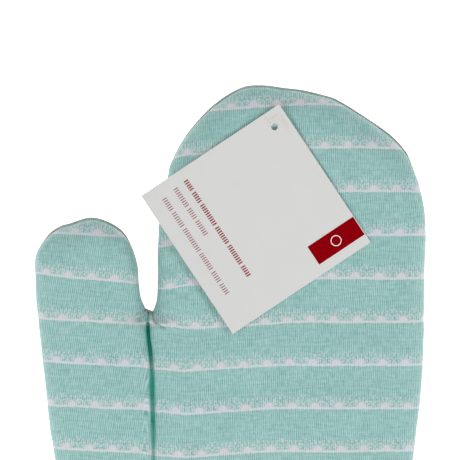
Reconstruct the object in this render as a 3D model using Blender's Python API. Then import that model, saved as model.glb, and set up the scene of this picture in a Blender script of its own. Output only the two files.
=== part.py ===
"""Padded cotton oven mitt, lying flat with the palm side up, with its swing tag.

Frame: metres, +Z up. The mitt rests on Z = 0. +X runs across it, away from the thumb, and +Y runs
from the cuff to the fingertips. The origin is on the flat underside, half way along the mitt.

Every wall is a shell of printed cotton, a batt of wadding and a cotton lining, one inside the other.
Front and back walls meet at the seam height. The walls part on two fold lines, at the knuckles and
at the thumb's root, so that the fingers and the thumb can fold up over the palm.
"""

import math

import bmesh
import bpy
from mathutils import Matrix, Vector

MM = 0.001

# Driving dimensions, in millimetres.
HALF_LENGTH = 155.0  # the hem is at -155, the fingertips at +155
THICKNESS = 30.0
SEAM_Z = 13.0  # height of the seam that joins front and back
EDGE_ROUND = 16.0  # how far the rounded rim reaches in from the outline
GAP = 0.3  # clearance between neighbouring pieces
SHELL_T = 1.0
WADDING_T = 5.0
LINING_T = 0.8
RIM_STEPS = 3  # facets in the quarter round of the rim
STATION_STEP = 8.0  # spacing of the stations along the outline
FAN_STRETCH = 1.65  # the most that a rim widens where it is cut at a slant
SLANT_STATIONS = 7  # stations over which the thumb's rim turns to meet its slanting cut

# Fold lines. Both axes lie level with the top of the cloth, so a folding end opens the back.
KNUCKLE_Y = 52.0
THUMB_FOLD_AT = Vector((-55.6, 36.0))
THUMB_FOLD_DIR = Vector((-0.455, -0.890)).normalized()  # down the fold, towards the cuff

# Cuff.
BINDING_WIDTH = 12.0
BINDING_TOP = BINDING_WIDTH - HALF_LENGTH
WALL_T = SHELL_T + WADDING_T + LINING_T + 2 * GAP
LOOP_ROOT = Vector((83.5, -HALF_LENGTH, 9.0))
LOOP_LENGTH = 46.0
LOOP_WIDTH = 19.0
LOOP_TAPE_W = 9.0
LOOP_TAPE_T = 2.0
LOOP_TAB = 7.0
LOOP_STEPS = 28  # points round the teardrop
LOOP_CROTCH = 3  # of those points, how many the two legs share at each side of the tab
LOOP_ROOT_SIDES = 6
LOOP_PIVOT = GAP + LOOP_TAPE_T / 2  # below the hem, so that the round root turns clear of it

# Tag and its plastic fastener.
TAG_SIDE = 88.5
TAG_T = 0.6
TAG_TURN = math.radians(33.6)
TAG_CENTRE = Vector((14.3, 83.0, THICKNESS + GAP + 0.1 + TAG_T / 2))
TAG_HOLE = Vector((24.0, 134.0))
TAG_HOLE_R = 1.6
TAG_LIFT_Y = 146.0
STEM_R = 0.5
STEM_BORE_R = 1.1
ANCHOR_R = 0.6
ANCHOR_LENGTH = 9.0
STEM_TOP = THICKNESS + 0.2
HEAD_BOTTOM = STEM_TOP + GAP
PADDLE_Z = TAG_CENTRE.z + TAG_T / 2 + 0.9
PADDLE_SIZE = (5.0, 3.0, 0.8)

# Outline, right side of the cuff round the fingertips to the left side of the cuff. Each stretch
# ends where the next begins, on a fold line or at the hem.
HEM_RIGHT, HEM_LEFT = (89.0, -HALF_LENGTH), (-77.0, -HALF_LENGTH)
RIGHT_SIDE = [(89.4, BINDING_TOP), (91.3, -105.0), (98.0, -50.0), (103.3, -4.0), (104.7, KNUCKLE_Y)]
FINGERTIPS = [
    (104.7, KNUCKLE_Y), (104.6, 78.0), (102.2, 98.0), (96.5, 115.5), (86.0, 129.0), (68.0, 142.0),
    (44.0, 151.6), (17.0, 155.0), (-6.0, 147.3), (-24.0, 129.0), (-33.0, 109.0), (-37.3, 88.0),
    (-38.9, KNUCKLE_Y),
]
WEB = [(-38.9, KNUCKLE_Y), (-40.4, 39.0), (-43.6, 32.5), (-46.9, 37.5), (-49.4, 47.6)]
THUMB = [
    (-49.4, 47.6), (-51.0, 60.0), (-55.3, 73.0), (-63.0, 80.8), (-74.0, 83.7), (-87.0, 80.3),
    (-98.0, 74.0), (-104.0, 64.0), (-105.4, 50.0), (-104.0, 28.0), (-100.5, -4.0), (-96.0, -41.5),
]
LEFT_SIDE = [(-96.0, -41.5), (-89.0, -75.0), (-81.5, -112.0), (-77.8, BINDING_TOP)]

COLOURS = {
    "shell": ((0.29, 0.54, 0.50), 0.85),
    "wadding": ((0.86, 0.85, 0.80), 0.95),
    "lining": ((0.82, 0.81, 0.77), 0.9),
    "binding": ((0.27, 0.52, 0.48), 0.85),
    "card": ((0.64, 0.64, 0.63), 0.55),
    "plastic": ((0.80, 0.80, 0.80), 0.35),
}


def clear_scene():
    """Start from an empty scene."""
    for obj in list(bpy.data.objects):
        bpy.data.objects.remove(obj)


def make_collection(name):
    """A collection linked to the scene."""
    made = bpy.data.collections.new(name)
    bpy.context.scene.collection.children.link(made)
    return made


def material(node, kind):
    """The node's own material."""
    colour, roughness = COLOURS[kind]
    made = bpy.data.materials.new(node)
    made.use_nodes = True
    shader = made.node_tree.nodes["Principled BSDF"]
    shader.inputs["Base Color"].default_value = (*colour, 1.0)
    shader.inputs["Roughness"].default_value = roughness
    return made


def add_object(node, data, kind, collection):
    """Link an object with its own material."""
    obj = bpy.data.objects.new(node, data)
    data.materials.append(material(node, kind))
    collection.objects.link(obj)
    return obj


def smooth_path(points, before, after):
    """Points every STATION_STEP or so along a Catmull-Rom curve, each with its inward normal."""
    control = [Vector(p) for p in [before, *points, after]]
    stations = []
    for i in range(1, len(control) - 2):
        p0, p1, p2, p3 = control[i - 1:i + 3]
        steps = max(1, round((p2 - p1).length / STATION_STEP))
        for k in range(steps + (i == len(control) - 3)):
            t = k / steps
            place = 0.5 * (2 * p1 + (p2 - p0) * t + (2 * p0 - 5 * p1 + 4 * p2 - p3) * t ** 2
                           + (3 * p1 - p0 - 3 * p2 + p3) * t ** 3)
            along = 0.5 * ((p2 - p0) + 2 * (2 * p0 - 5 * p1 + 4 * p2 - p3) * t
                           + 3 * (3 * p1 - p0 - 3 * p2 + p3) * t ** 2)
            along.normalize()
            stations.append((place, Vector((-along.y, along.x))))
    return stations


def end_on_line(stations, index, direction, shift):
    """Make an end station run inward along a cut line, moved off that line by shift."""
    place, normal = stations[index]
    stations[index] = (place + shift, direction / direction.dot(normal))


def fan_out(stations, count, last):
    """Turn the inward directions of the final stations evenly until they run along a cut line."""
    first = stations[-count][1].normalized()
    turn = -first.angle_signed(last)
    for i in range(count):
        place, normal = stations[i - count]
        direction = Matrix.Rotation(turn * i / (count - 1), 2) @ first
        stretch = min(FAN_STRETCH, 1 / max(direction.dot(normal), 1 / FAN_STRETCH))
        stations[i - count] = (place, direction * stretch)


def outline_paths():
    """The outline of each part of the mitt, as lists of stations, in order round the part."""
    fold_normal = Vector((THUMB_FOLD_DIR.y, -THUMB_FOLD_DIR.x))  # towards the thumb
    right, left = Vector((1.0, 0.0)), Vector((-1.0, 0.0))
    up = Vector((0.0, 1.0))
    no_shift = Vector((0.0, 0.0))

    side = smooth_path(RIGHT_SIDE, HEM_RIGHT, FINGERTIPS[1])
    web = smooth_path(WEB, FINGERTIPS[-2], THUMB[1])
    web[0] = (web[0][0], right)
    fan_out(web, len(web), THUMB_FOLD_DIR)
    cuff = smooth_path(LEFT_SIDE, THUMB[-2], HEM_LEFT)
    end_on_line(side, 0, left, no_shift)
    end_on_line(side, -1, left, -up * GAP)
    web[0] = (web[0][0] - up * GAP, web[0][1])
    web[-1] = (web[-1][0] - fold_normal * GAP, web[-1][1])
    end_on_line(cuff, 0, -THUMB_FOLD_DIR, -fold_normal * GAP)
    end_on_line(cuff, -1, right, no_shift)

    tips = smooth_path(FINGERTIPS, RIGHT_SIDE[-2], WEB[1])
    end_on_line(tips, 0, left, up * GAP)
    end_on_line(tips, -1, right, up * GAP)

    thumb = smooth_path(THUMB, WEB[-2], LEFT_SIDE[1])
    end_on_line(thumb, 0, THUMB_FOLD_DIR, fold_normal * GAP)
    fan_out(thumb, SLANT_STATIONS, -THUMB_FOLD_DIR)
    thumb[-1] = (thumb[-1][0] + fold_normal * GAP, thumb[-1][1])
    return {"palm": [side, web, cuff], "fingers": [tips], "thumb": [thumb]}


def rim_section(inset, top, face):
    """(distance in from the outline, height) up one rounded rim. face is 1 in front, -1 behind."""
    reach = EDGE_ROUND - inset
    start = SEAM_Z + face * GAP / 2
    rise = top - start
    section = []
    for k in range(RIM_STEPS + 1):
        angle = math.pi / 2 * k / RIM_STEPS
        section.append((inset + reach * (1 - math.cos(angle)), start + rise * math.sin(angle)))
    return section


def make_layer(node, paths, inset, thickness, face, kind, collection):
    """One layer of one wall: a tray whose rim is lofted round the outline and whose floor is flat."""
    surface = THICKNESS if face > 0 else 0.0
    skins = [rim_section(inset, surface - face * inset, face),
             rim_section(inset + thickness, surface - face * (inset + thickness), face)]
    bm = bmesh.new()
    grids = []
    for skin in skins:
        grid = []
        for path in paths:
            columns = []
            for place, inward in path:
                columns.append([
                    bm.verts.new(((place + inward * d).x * MM, (place + inward * d).y * MM, z * MM))
                    for d, z in skin
                ])
            grid.append(columns)
        grids.append(grid)
    outer, inner = grids
    for outer_path, inner_path in zip(outer, inner):
        for grid in (outer_path, inner_path):
            for a, b in zip(grid, grid[1:]):
                for k in range(RIM_STEPS):
                    bm.faces.new((a[k], b[k], b[k + 1], a[k + 1]))
        for i in range(len(outer_path) - 1):
            bm.faces.new((outer_path[i][0], inner_path[i][0], inner_path[i + 1][0], outer_path[i + 1][0]))
        for end in (0, -1):
            for k in range(RIM_STEPS):
                bm.faces.new((outer_path[end][k], outer_path[end][k + 1],
                              inner_path[end][k + 1], inner_path[end][k]))
    for i, outer_path in enumerate(outer):
        following = (i + 1) % len(outer)
        bm.faces.new((outer_path[-1][-1], outer[following][0][-1],
                      inner[following][0][-1], inner[i][-1][-1]))
    for grid in (outer, inner):
        bm.faces.new([column[-1] for path in grid for column in path])
    bmesh.ops.recalc_face_normals(bm, faces=bm.faces[:])
    mesh = bpy.data.meshes.new(node)
    bm.to_mesh(mesh)
    bm.free()
    mesh.shade_smooth()
    mesh.set_sharp_from_angle(angle=math.radians(40))
    return add_object(node, mesh, kind, collection)


def make_walls(collection):
    """Shell, wadding and lining, front and back, for each part of the mitt."""
    layers = [("shell", 0.0, SHELL_T), ("wadding", SHELL_T + GAP, WADDING_T),
              ("lining", SHELL_T + WADDING_T + 2 * GAP, LINING_T)]
    made = {}
    for part, paths in outline_paths().items():
        for face_name, face in (("front", 1), ("back", -1)):
            for layer, inset, thickness in layers:
                node = f"{face_name}_{layer}_{part}"
                made[node] = make_layer(node, paths, inset, thickness, face, layer, collection)
    return made


def band_loop(left, right, inset):
    """A closed outline, in X and Z, of the cuff's section at one depth in from its surface."""
    front = rim_section(inset, THICKNESS - inset, 1)
    back = rim_section(inset, inset, -1)
    quarters = [
        [(right - d, z) for d, z in front],
        [(left + d, z) for d, z in reversed(front)],
        [(left + d, z) for d, z in back],
        [(right - d, z) for d, z in reversed(back)],
    ]
    return [Vector((x, z)) for quarter in quarters for x, z in quarter]


def flat_outline(name, loops, thickness, kind, collection):
    """A plate or band cut to closed outlines: the first is its edge, and the others are holes."""
    curve = bpy.data.curves.new(name, "CURVE")
    curve.dimensions = "2D"
    curve.fill_mode = "BOTH"
    curve.extrude = thickness / 2 * MM
    for loop in loops:
        spline = curve.splines.new("POLY")
        spline.points.add(len(loop) - 1)
        for point, place in zip(spline.points, loop):
            point.co = (place.x * MM, place.y * MM, 0.0, 1.0)
        spline.use_cyclic_u = True
    return add_object(name, curve, kind, collection)


def make_binding(collection):
    """The tape round the cuff's open edge, as a band of the wall's thickness."""
    left, right = HEM_LEFT[0], HEM_RIGHT[0]
    loops = [band_loop(left, right, 0.0), band_loop(left, right, WALL_T)]
    band = flat_outline("hem_binding", loops, BINDING_WIDTH - GAP, "binding", collection)
    band.location = (0.0, (-HALF_LENGTH + (BINDING_WIDTH - GAP) / 2) * MM, 0.0)
    band.rotation_euler = (math.pi / 2, 0.0, 0.0)
    return band


def teardrop(offset):
    """The hanging loop's tape, seen flat: a teardrop that starts at the tab, offset to one side."""
    loop = []
    for k in range(1, LOOP_STEPS):
        t = 2 * math.pi * k / LOOP_STEPS
        half = math.sin(t / 2)
        place = Vector((LOOP_WIDTH / 2 * math.sin(t) * half, -LOOP_LENGTH / 2 * (1 - math.cos(t))))
        slope = Vector((LOOP_WIDTH / 2 * (math.cos(t) * half + math.sin(t) * math.cos(t / 2) / 2),
                        -LOOP_LENGTH / 2 * math.sin(t))).normalized()
        loop.append(place + Vector((-slope.y, slope.x)) * offset)
    return loop


def make_loop(collection):
    """The hanging loop: one tape doubled back on itself, with its ends sewn together as a tab."""
    half = LOOP_TAPE_T / 2
    below_tab = Vector((0.0, -LOOP_TAB))
    body = [p + below_tab for p in (Vector((half, 0.0)), *teardrop(half), Vector((-half, 0.0)))]
    hole = [p + below_tab for p in teardrop(-half)[LOOP_CROTCH:-LOOP_CROTCH]]
    pivot = Vector((0.0, -LOOP_PIVOT))
    root = [pivot + half * Vector((-math.cos(a), math.sin(a)))
            for a in (math.pi * k / LOOP_ROOT_SIDES for k in range(LOOP_ROOT_SIDES + 1))]
    loop = flat_outline("hanging_loop", [body + root, hole], LOOP_TAPE_W, "binding", collection)
    loop.location = LOOP_ROOT * MM
    return loop


def make_tag(collection):
    """The square card tag, turned on the mitt, with one round hole."""
    half = TAG_SIDE / 2
    square = [Vector((x * half, y * half)) for x, y in ((-1, -1), (1, -1), (1, 1), (-1, 1))]
    hole_at = TAG_HOLE - TAG_CENTRE.xy
    turn = Matrix.Rotation(-TAG_TURN, 2)
    centre = turn @ hole_at
    sides = 16
    hole = [centre + TAG_HOLE_R * Vector((math.cos(math.tau * k / sides), math.sin(math.tau * k / sides)))
            for k in range(sides)]
    tag = flat_outline("swing_tag", [square, hole], TAG_T, "card", collection)
    tag.location = TAG_CENTRE * MM
    tag.rotation_euler = (0.0, 0.0, TAG_TURN)
    return tag


def cylinder(name, radius, low, high, sides, collection, axis="Z"):
    """A round bar between two heights over the tag's hole, or along X at a height."""
    mesh = bpy.data.meshes.new(name)
    bm = bmesh.new()
    bmesh.ops.create_cone(bm, cap_ends=True, segments=sides, radius1=radius * MM,
                          radius2=radius * MM, depth=(high - low) * MM)
    if axis == "X":
        bmesh.ops.rotate(bm, verts=bm.verts[:], matrix=Matrix.Rotation(math.pi / 2, 3, "Y"))
    bm.to_mesh(mesh)
    bm.free()
    obj = bpy.data.objects.new(name, mesh)
    collection.objects.link(obj)
    return obj


def unite(obj, other):
    """Join other into obj with a Boolean, and keep other as a hidden guide."""
    joined = obj.modifiers.new("join", "BOOLEAN")
    joined.operation = "UNION"
    joined.object = other
    hide_guide(other)


def hide_guide(obj):
    """A cutter or guide shows as wire and is left out of the model."""
    obj.hide_render = True
    obj.display_type = "WIRE"


def make_fastener(collection, cutters, walls):
    """The plastic fastener: a T-bar and stem inside the fingers, a short filament and paddle outside."""
    layers = ("front_shell_fingers", "front_wadding_fingers", "front_lining_fingers")
    cavity_top = THICKNESS - WALL_T
    bar_z = cavity_top - GAP - ANCHOR_R
    stem = cylinder("tag_fastener_anchor", STEM_R, bar_z, STEM_TOP, 10, collection)
    stem.data.materials.append(material("tag_fastener_anchor", "plastic"))
    stem.location = Vector((*TAG_HOLE, (bar_z + STEM_TOP) / 2)) * MM
    bar = cylinder("anchor_bar", ANCHOR_R, 0.0, ANCHOR_LENGTH, 10, cutters, axis="X")
    bar.location = Vector((*TAG_HOLE, bar_z)) * MM
    unite(stem, bar)

    bore = cylinder("stem_bore", STEM_BORE_R, cavity_top - 2.0, THICKNESS + 2.0, 12, cutters)
    bore.location = Vector((*TAG_HOLE, THICKNESS - WALL_T / 2)) * MM
    hide_guide(bore)
    for name in layers:
        cut = walls[name].modifiers.new("stem bore", "BOOLEAN")
        cut.operation = "DIFFERENCE"
        cut.object = bore

    head = cylinder("tag_fastener_head", STEM_R, HEAD_BOTTOM, PADDLE_Z, 10, collection)
    head.data.materials.append(material("tag_fastener_head", "plastic"))
    head.location = Vector((*TAG_HOLE, (HEAD_BOTTOM + PADDLE_Z) / 2)) * MM
    mesh = bpy.data.meshes.new("paddle")
    bm = bmesh.new()
    bmesh.ops.create_cube(bm, size=1.0, matrix=Matrix.Diagonal((*(s * MM for s in PADDLE_SIZE), 1.0)))
    bm.to_mesh(mesh)
    bm.free()
    paddle = bpy.data.objects.new("paddle", mesh)
    cutters.objects.link(paddle)
    paddle.location = Vector((*TAG_HOLE, PADDLE_Z)) * MM
    unite(head, paddle)
    return stem, head


def put_origin(obj, x, y, z):
    """Move an object's origin to a point in millimetres and leave its shape where it is."""
    bpy.context.view_layer.update()
    world = obj.matrix_world.copy()
    place = Vector((x, y, z)) * MM
    pivot = bpy.data.objects.new(f"{obj.name}_pivot", None)
    obj.users_collection[0].objects.link(pivot)
    pivot.location = place
    bpy.context.view_layer.update()
    obj.parent = pivot
    obj.matrix_parent_inverse = pivot.matrix_world.inverted()
    obj.matrix_world = world


def main():
    clear_scene()
    parts = make_collection("oven_mitt")
    cutters = make_collection("cutters")
    walls = make_walls(parts)
    make_binding(parts)
    loop = make_loop(parts)
    tag = make_tag(parts)
    _, head = make_fastener(parts, cutters, walls)
    for node, wall in walls.items():
        if node.endswith("fingers"):
            put_origin(wall, 0.0, KNUCKLE_Y, THICKNESS)
        elif node.endswith("thumb"):
            put_origin(wall, THUMB_FOLD_AT.x, THUMB_FOLD_AT.y, THICKNESS)
    put_origin(loop, LOOP_ROOT.x, LOOP_ROOT.y - LOOP_PIVOT, LOOP_ROOT.z)
    put_origin(tag, *TAG_HOLE, TAG_CENTRE.z)
    put_origin(head, TAG_HOLE.x, TAG_LIFT_Y, TAG_CENTRE.z - TAG_T / 2)


main()
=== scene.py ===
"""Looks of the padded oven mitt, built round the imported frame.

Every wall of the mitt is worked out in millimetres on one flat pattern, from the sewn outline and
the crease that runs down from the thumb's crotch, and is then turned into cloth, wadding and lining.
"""

import math

import bpy
import numpy as np
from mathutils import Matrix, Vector, noise
from mathutils.geometry import delaunay_2d_cdt
from mathutils.kdtree import KDTree


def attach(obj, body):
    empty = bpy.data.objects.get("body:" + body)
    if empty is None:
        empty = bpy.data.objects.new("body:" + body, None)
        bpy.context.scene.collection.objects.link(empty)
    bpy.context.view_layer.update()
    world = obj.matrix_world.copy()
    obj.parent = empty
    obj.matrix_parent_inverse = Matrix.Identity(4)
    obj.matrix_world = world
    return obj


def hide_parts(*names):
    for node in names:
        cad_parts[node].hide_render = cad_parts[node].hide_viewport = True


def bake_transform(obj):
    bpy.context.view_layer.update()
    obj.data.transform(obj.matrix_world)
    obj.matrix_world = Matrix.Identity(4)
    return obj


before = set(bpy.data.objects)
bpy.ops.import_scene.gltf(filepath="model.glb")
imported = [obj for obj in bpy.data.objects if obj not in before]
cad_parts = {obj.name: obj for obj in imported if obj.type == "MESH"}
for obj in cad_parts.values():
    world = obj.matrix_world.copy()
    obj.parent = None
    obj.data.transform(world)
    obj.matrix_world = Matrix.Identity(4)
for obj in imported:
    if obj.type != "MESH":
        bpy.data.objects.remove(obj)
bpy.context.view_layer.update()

MM = 0.001
UV_MM = 100.0  # millimetres of cloth in one unit of its UV

# Wall of the mitt, in millimetres.
THICKNESS = 30.0
SEAM_Z = 13.0
RIM = 18.0  # how far the rounded edge reaches in from the seam
CREASE_RIM_LOW = 8.0  # the same beside the crease, down at the cuff
ROUNDNESS = 2.1  # exponent of the rim's section
WEB_ROUNDNESS = 4.6  # the same on both sides of the gap between thumb and hand
CREASE_ROUNDNESS = 7.0  # the same beside the crease, where the cloth turns down sharply
RING_CROWDING = 1.7  # above 1, rings crowd towards the seam
GROOVE_RISE = 2.0  # from the seam up to where the cloth is widest
SHELL_T = 0.6
WADDING_IN, WADDING_OUT = 1.5, 6.0
LINING_IN, LINING_OUT = 6.5, 7.2
TOP_DOME = 1.8  # how much lower the top is beside the rim than in the middle
DOME_REACH = 30.0
HEM_Y = -154.0
HEM_PRESS = 0.9  # how far the stitched tape presses each side of the wall at the hem
HEM_PRESS_TOP = -130.0  # above this the wall is free
TAPE_TOP = -142.0
TAPE_STITCH = -143.6
TAPE_T = 0.7
THREAD_R = 0.2
STITCH_STEP = 3.2
STITCH_LENGTH = 2.2

# Swelling of the padded cloth between its seams, by cloth simulation.
RELIEF_STEP = 2.5
RELIEF_SPAN = (112.0, 160.0)  # half the width and half the length that the relief covers
SWELL_BED = 0.15  # how firmly the wadding holds the cloth
SWELL_SPARE = 0.002  # how much longer the cloth is than the wadding it covers
SWELL_CLOTH = {
    "quality": 5,
    "mass": 0.2,
    "tension_stiffness": 12.0,
    "compression_stiffness": 12.0,
    "shear_stiffness": 4.0,
    "bending_stiffness": 20.0,
    "bending_damping": 1.0,
    "vertex_group_mass": "held",
    "pin_stiffness": 1.0,
    "shrink_min": -SWELL_SPARE,
    "use_pressure": True,
    "uniform_pressure_force": 4.0,
}
SWELL_FRAMES = 20
SWELL_ROOM = 0.6  # the most that it may rise or sink, in millimetres

# Hanging loop, in millimetres.
LOOP_AT = (83.5, -155.0, 9.0)
LOOP_TAPE_W = 9.0
LOOP_T = 1.8
LOOP_TAB = 7.0
LOOP_PINCH = 0.42  # share of the tape's thickness left where it is pinched into the hem
LOOP_L = 46.0
LOOP_W = 19.0

# Swing tag, in millimetres in its own plane, and its fastener.
TAG_SIDE = 89.2
TAG_T = 0.5
TAG_TURN = math.radians(33.6)
TAG_AT = (13.95, 82.9)
TAG_Z = 30.2
TAG_BEND = 0.5
TAG_LIFT = 3.0  # how far the free edge towards the thumb curls up
TAG_HOLE = (35.8, 35.8)  # the pin rests against the hole's upper edge
TAG_HOLE_R = 1.8
TAG_LINES = (  # each line of marks: its middle, start, end and height, and whether it is bold
    (-20.0, 38.2, -24.1, 2.7, True),
    (-27.0, 37.6, 6.8, 2.7, False),
    (-35.0, 36.4, -25.5, 2.7, False),
)
TAG_BLOCK = (14.8, 44.2, -39.3, -27.8)  # left, right, low and high edge of the block of colour
RING_IN, RING_OUT = 2.5, 2.95
PRINT_T = 0.03
TAG_PIN = (24.0, 134.0)
ANCHOR_Z = 21.7
PADDLE_Z = 31.9
PIN_DIMPLE = 0.2
TACK_Z = 16.2

# Sewn outline and crease, in millimetres across (x) and along (y) the mitt.
HAND_EDGE = [
    (90.1, HEM_Y), (92.5, -105.0), (99.1, -50.0), (104.4, -4.0), (105.7, 52.0), (106.3, 80.0),
    (103.8, 98.0), (98.0, 114.5), (93.9, 121.3), (85.0, 130.0), (68.2, 141.4), (59.5, 146.7),
    (54.0, 149.1), (40.0, 152.6), (29.5, 153.9), (17.0, 155.4), (5.5, 153.8), (-9.7, 144.3),
    (-22.7, 130.5), (-32.0, 114.5), (-34.2, 105.0), (-38.2, 88.0), (-39.4, 66.0), (-39.3, 54.0),
    (-39.6, 45.0), (-40.2, 38.5), (-41.4, 34.2), (-42.5, 32.8), (-43.9, 33.1),
]
CREASE = [
    (-43.9, 33.1), (-44.3, 26.2), (-43.9, 18.4), (-43.0, 11.8), (-42.3, 4.0), (-41.9, -8.0),
    (-41.0, -60.0), (-41.0, HEM_Y),
]
THUMB_EDGE = [
    (-43.9, 33.1), (-45.4, 34.3), (-46.9, 37.4), (-48.2, 41.5), (-49.0, 48.0), (-50.2, 60.0),
    (-55.2, 72.6), (-63.0, 80.0), (-75.0, 83.8), (-87.0, 80.5), (-91.5, 79.3), (-99.0, 74.2),
    (-105.0, 64.5), (-105.9, 52.0), (-104.3, 28.0), (-100.7, -4.0), (-96.2, -41.5), (-89.2, -75.0),
    (-81.7, -112.0), (-77.0, HEM_Y),
]
CROTCH = np.array(CREASE[0])
CREASE_DEPTHS = (  # how far down the crease's slot goes, from 1 at the seam to 0, by place up the mitt
    (-88.0, 0.0), (-60.0, 0.1), (-30.0, 0.33), (-6.0, 0.5), (8.0, 0.6), (14.0, 0.8), (24.0, 0.95),
    (33.2, 1.0),
)
CREASE_BRIDGES = (  # how much of that depth the cloth bridges over where the tack pulls it tight
    (-12.0, 0.0), (1.0, 0.2), (9.0, 0.0), (26.4, 0.0), (27.6, 0.45), (31.0, 0.5), (33.0, 0.0),
)
CREASE_SLOTS = (  # half the slot's width
    (-88.0, 0.0), (-30.0, 1.0), (-2.0, 1.15), (8.0, 0.85), (24.0, 0.75), (27.6, 0.5), (31.0, 0.45),
    (33.2, 0.0),
)
CREASE_SHADE_SHARES = (  # how much painted shade darkens the slot's cloth, for the deep shade and the light thrown between its sides
    (-88.0, 0.0), (-40.0, 0.35), (-6.0, 0.8), (3.0, 0.4), (9.0, 0.7), (13.0, 0.85), (18.0, 1.0),
    (26.2, 1.0), (27.6, 0.45), (32.0, 0.45), (33.2, 0.0),
)
PUCKERS = (  # small gathers that run out from the crotch: places, depth and half width
    (((-42.3, 32.0), (-41.1, 28.9), (-39.5, 26.8), (-37.3, 25.4), (-34.6, 24.3)), 2.1, 0.5),
    (((-45.9, 33.2), (-46.8, 30.7), (-48.7, 29.7)), 1.4, 0.6),
    (((-46.0, 34.0), (-48.2, 32.6), (-50.5, 32.4)), 0.6, 0.7),
)

# Lace print, in millimetres.
PRINT_WRAP = 0.4  # how much of the rim's height the print runs over, the rest is eased away
STRIPE = 23.4
STRIPE_0 = 51.0  # one stripe's baseline, at the right of the hand
MOTIF = 12.5
MOTIF_0 = 55.0
LACE_RAYS = ((12.0, 5.5), (36.0, 5.3), (60.0, 4.5))  # angle from upright, and length
LACE_FINE = 0.75  # how much of the fine lines' ink the cloth takes
RIB = 1.1  # spacing of the cloth's upright ribs

MINT_LIGHT = (0.37, 0.56, 0.54)
MINT_DARK = (0.13, 0.3, 0.28)
# Painted shade: the saturated dark green that the crease's slot is painted towards, for the deep shade
# between its sides.
CREASE_SHADE_GREEN = (0.0, 0.43, 0.33)
LACE_WHITE = (0.58, 0.55, 0.59)
TAG_WHITE = (0.565, 0.565, 0.555)
TAG_SHADE = (0.525, 0.525, 0.51)
# Colour of the faint beige marks beside the tag's hole.
TAG_MARK_BEIGE = (0.5, 0.47, 0.42)
TAG_HOLE_MARKS = (  # the middle, half width and half length of each faint beige mark beside the hole
    (34.4, 40.3, 0.9, 3.4), (41.6, 35.0, 1.3, 3.6), (38.5, 40.5, 3.2, 0.8),
)
TAG_RED = (0.22, 0.0, 0.003)
TAG_TEXT = (0.24, 0.02, 0.03)

# Studio, in metres and watts.
CAMERA_HEIGHT = 3.0
VIEW_WIDTH = 0.249
VIEW_Y = 0.077
STUDIO_LIGHTS = (
    ("key", (1.2, 0.05, 1.45), 0.8, 14.1),
    ("fill", (-1.05, -0.45, 1.35), 0.9, 13.8),
    ("front", (0.1, -1.3, 1.2), 0.9, 8.6),
    ("top", (0.0, 0.1, 3.4), 1.6, 18.0),
)
WORLD_LIGHT = 0.3
FLOOR_GLOW = 1.05
FLOOR_HALF = 4000.0  # half the floor's width, in millimetres


def smoothstep(low, high, x):
    """0 below low and 1 above high, with a smooth rise between; low may be the larger."""
    t = np.clip((x - low) / (high - low), 0.0, 1.0)
    return t * t * (3.0 - 2.0 * t)


def curve_through(points, before, after, per_span=40):
    """A dense Catmull-Rom line through the points."""
    c = np.array([before, *points, after], float)
    t = np.linspace(0.0, 1.0, per_span, endpoint=False)[:, None]
    spans = [
        0.5 * (2 * p1 + (p2 - p0) * t + (2 * p0 - 5 * p1 + 4 * p2 - p3) * t ** 2
               + (3 * p1 - p0 - 3 * p2 + p3) * t ** 3)
        for p0, p1, p2, p3 in zip(c, c[1:], c[2:], c[3:])
    ]
    return np.vstack([*spans, c[-2:-1]])


def step_lengths(line):
    return np.linalg.norm(np.diff(line, axis=0), axis=1)


def lengths_along(line):
    return np.concatenate([[0.0], np.cumsum(step_lengths(line))])


def directions(line):
    """The line's direction at each of its points, of length 1."""
    along = np.gradient(line, axis=0)
    return along / np.linalg.norm(along, axis=1)[:, None]


def away_from(points, place):
    return np.linalg.norm(points - place, axis=1)


def waver(lengths, size, a, b):
    """Soft random unevenness along a line, of the given size; a and b choose which."""
    return np.array([noise.noise(Vector((at / size, a, b))) for at in lengths])


def resample(line, spacing):
    """Points along the line, as far apart as spacing says, and closer near the crotch."""
    middle = (line[1:] + line[:-1]) / 2
    wanted = spacing * (0.3 + 0.7 * smoothstep(4.0, 22.0, away_from(middle, CROTCH)))
    progress = np.concatenate([[0.0], np.cumsum(step_lengths(line) / wanted)])
    at = np.linspace(0.0, progress[-1], int(round(progress[-1])) + 1)
    return np.column_stack([np.interp(at, progress, line[:, k]) for k in (0, 1)])


def inward_normals(line, reach=6.0):
    """Directions in from the edge, evened out along it so that the rings never cross."""
    along = directions(line)
    normals = np.column_stack([-along[:, 1], along[:, 0]])
    s = lengths_along(line)
    share = np.exp(-0.5 * ((s[:, None] - s[None, :]) / reach) ** 2) * np.gradient(s)[None, :]
    normals = share @ normals
    normals /= np.linalg.norm(normals, axis=1)[:, None]
    for end in (0, -1):
        normals[end] = (np.sign(normals[end, 0]), 0.0)
    return normals


def distance_to(points, line):
    """Distance of each point to a line of points, in blocks to spare memory."""
    a, b = line[:-1], line[1:]
    ab = b - a
    size = np.maximum((ab ** 2).sum(1), 1e-12)
    found = np.empty(len(points))
    for start in range(0, len(points), 2000):
        p = points[start:start + 2000, None, :]
        t = np.clip(((p - a) * ab).sum(2) / size, 0.0, 1.0)
        found[start:start + 2000] = np.linalg.norm(p - (a + t[..., None] * ab), axis=2).min(1)
    return found


def inside(points, loop):
    """Which points a closed loop holds, by the even-odd rule."""
    a, b = loop, np.roll(loop, -1, axis=0)
    held = np.zeros(len(points), bool)
    for (ax, ay), (bx, by) in zip(a, b):
        if ay != by:
            crosses = (points[:, 1] >= min(ay, by)) & (points[:, 1] < max(ay, by))
            held ^= crosses & (points[:, 0] < ax + (points[:, 1] - ay) * (bx - ax) / (by - ay))
    return held


def triangulate(points, edges):
    """Triangles over flat points that keep the given edges."""
    _, _, faces, origin, _, _ = delaunay_2d_cdt([Vector(p) for p in points], edges, [], 1, 1e-6)
    return [[origin[v][0] for v in f] for f in faces]


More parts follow.
